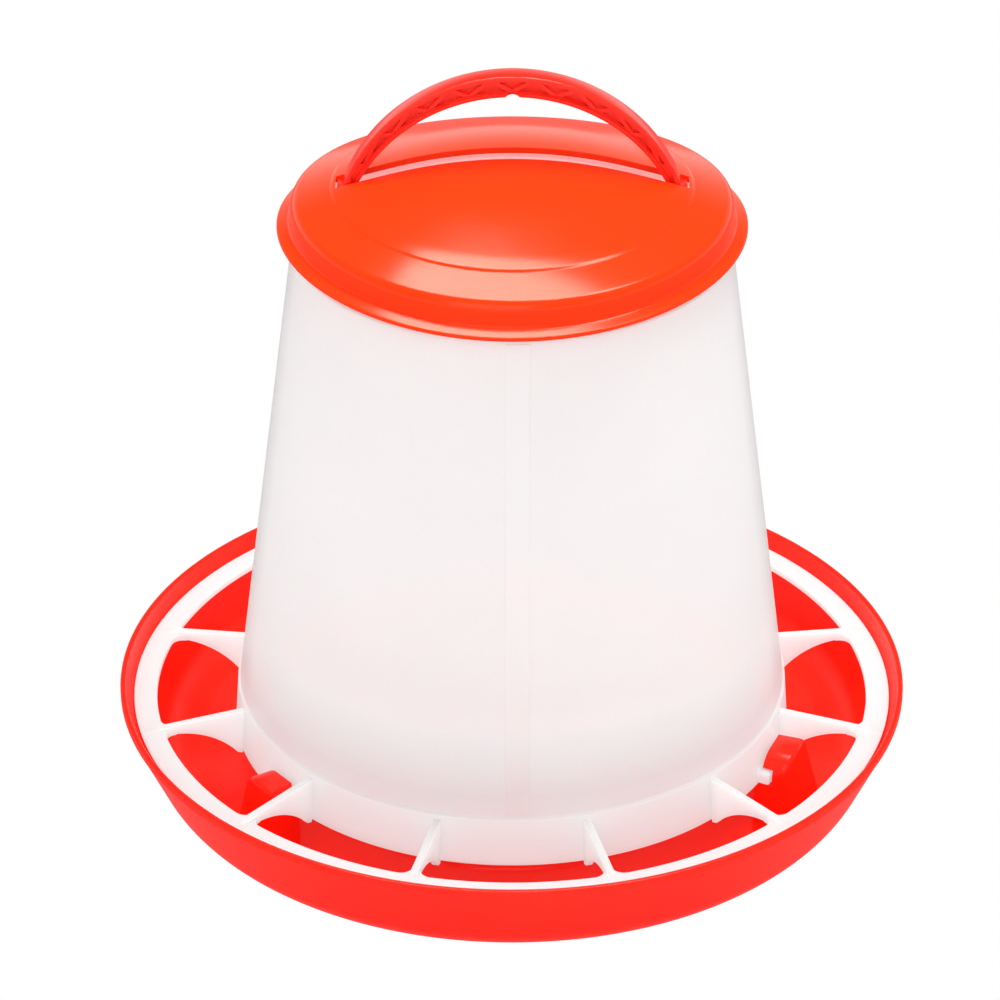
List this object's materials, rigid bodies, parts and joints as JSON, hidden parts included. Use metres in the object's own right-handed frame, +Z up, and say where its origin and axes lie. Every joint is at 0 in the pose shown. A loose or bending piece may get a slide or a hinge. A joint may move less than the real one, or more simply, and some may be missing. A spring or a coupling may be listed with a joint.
{
  "type": "poultry feeder",
  "caption": "Round gravity feeder for poultry: a tapered hopper with a spoked feed guard stands in a shallow tray, under a domed lid and a carrying handle.",
  "frame": {"origin": "centre of the tray's foot, on the surface that the feeder stands on", "axes": "+Z up along the hopper's axis; +X along the handle's arch; the front faces -Y"},
  "size_m": [0.28, 0.28, 0.2672],
  "materials": {
    "feed_tray": "glossy red moulded plastic",
    "hopper": "milky translucent moulded plastic, satin",
    "lid": "glossy orange-red moulded plastic",
    "handle": "glossy orange-red moulded plastic"
  },
  "bodies": {
    "root": {"feed_tray": "feed_tray", "hopper": "hopper", "lid": "lid", "handle": "handle"}
  },
  "joints": []
}
